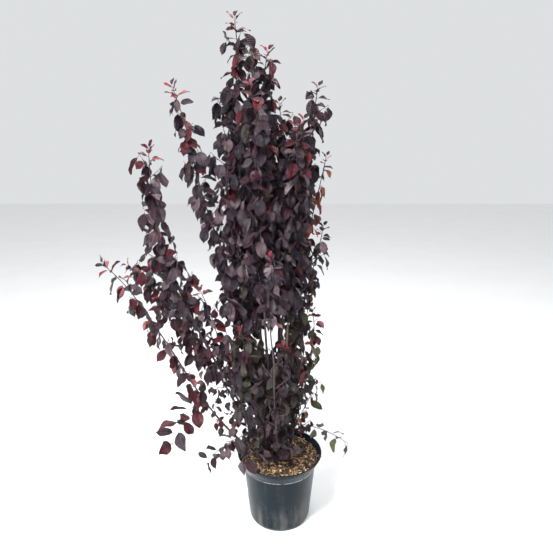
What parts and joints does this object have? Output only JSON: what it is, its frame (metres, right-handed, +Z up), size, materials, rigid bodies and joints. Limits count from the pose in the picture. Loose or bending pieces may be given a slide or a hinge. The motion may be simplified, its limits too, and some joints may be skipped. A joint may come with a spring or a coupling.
{
  "type": "potted cherry plum shrub",
  "caption": "Bushy purple-leaved cherry plum with upright and arching stems, growing in a round black nursery pot with a flared collar.",
  "frame": {"origin": "centre of the pot's flat underside", "axes": "+Z up along the pot's axis, the plant's front faces -Y, its long arching shoots reach towards -X"},
  "size_m": [0.9278, 0.6108, 1.9289],
  "materials": {
    "pot": "matt black plastic, dusty and scuffed",
    "compost": "golden-brown bark compost",
    "bark": "smooth dark purple-brown bark",
    "purple_leaves": "soft leaf surface, dark purple to crimson",
    "green_leaves": "soft leaf surface, olive green"
  },
  "bodies": {
    "root": {"leaves_arch_back": "purple_leaves", "leaves_arch_front": "purple_leaves", "leaves_arch_inner": "purple_leaves", "leaves_arch_outer": "purple_leaves", "leaves_crown_back": "purple_leaves", "leaves_crown_back_left": "purple_leaves", "leaves_crown_back_right": "purple_leaves", "leaves_crown_front": "purple_leaves", "leaves_crown_front_right": "purple_leaves", "leaves_green_right": "green_leaves", "leaves_leader_centre": "purple_leaves", "leaves_leader_left": "purple_leaves", "leaves_leader_right": "purple_leaves", "leaves_low_back": "purple_leaves", "leaves_low_back_left": "purple_leaves", "leaves_low_front": "purple_leaves", "leaves_low_front_left": "purple_leaves", "leaves_orange_right": "purple_leaves", "leaves_reach_left": "purple_leaves", "leaves_slim_left": "purple_leaves", "leaves_slim_right": "purple_leaves", "leaves_spread_left": "purple_leaves", "leaves_sprig_foot": "purple_leaves", "leaves_sprig_green": "green_leaves", "leaves_sprig_hanging": "purple_leaves", "leaves_sprig_left": "purple_leaves", "leaves_sprig_right": "green_leaves", "leaves_sprig_rim": "purple_leaves", "pot": "pot", "soil": "compost", "stem_arch_back": "bark", "stem_arch_front": "bark", "stem_arch_inner": "bark", "stem_arch_outer": "bark", "stem_crown_back": "bark", "stem_crown_back_left": "bark", "stem_crown_back_right": "bark", "stem_crown_front": "bark", "stem_crown_front_right": "bark", "stem_green_right": "bark", "stem_leader_centre": "bark", "stem_leader_left": "bark", "stem_leader_right": "bark", "stem_low_back": "bark", "stem_low_back_left": "bark", "stem_low_front": "bark", "stem_low_front_left": "bark", "stem_orange_right": "bark", "stem_reach_left": "bark", "stem_slim_left": "bark", "stem_slim_right": "bark", "stem_spread_left": "bark"}
  },
  "joints": []
}
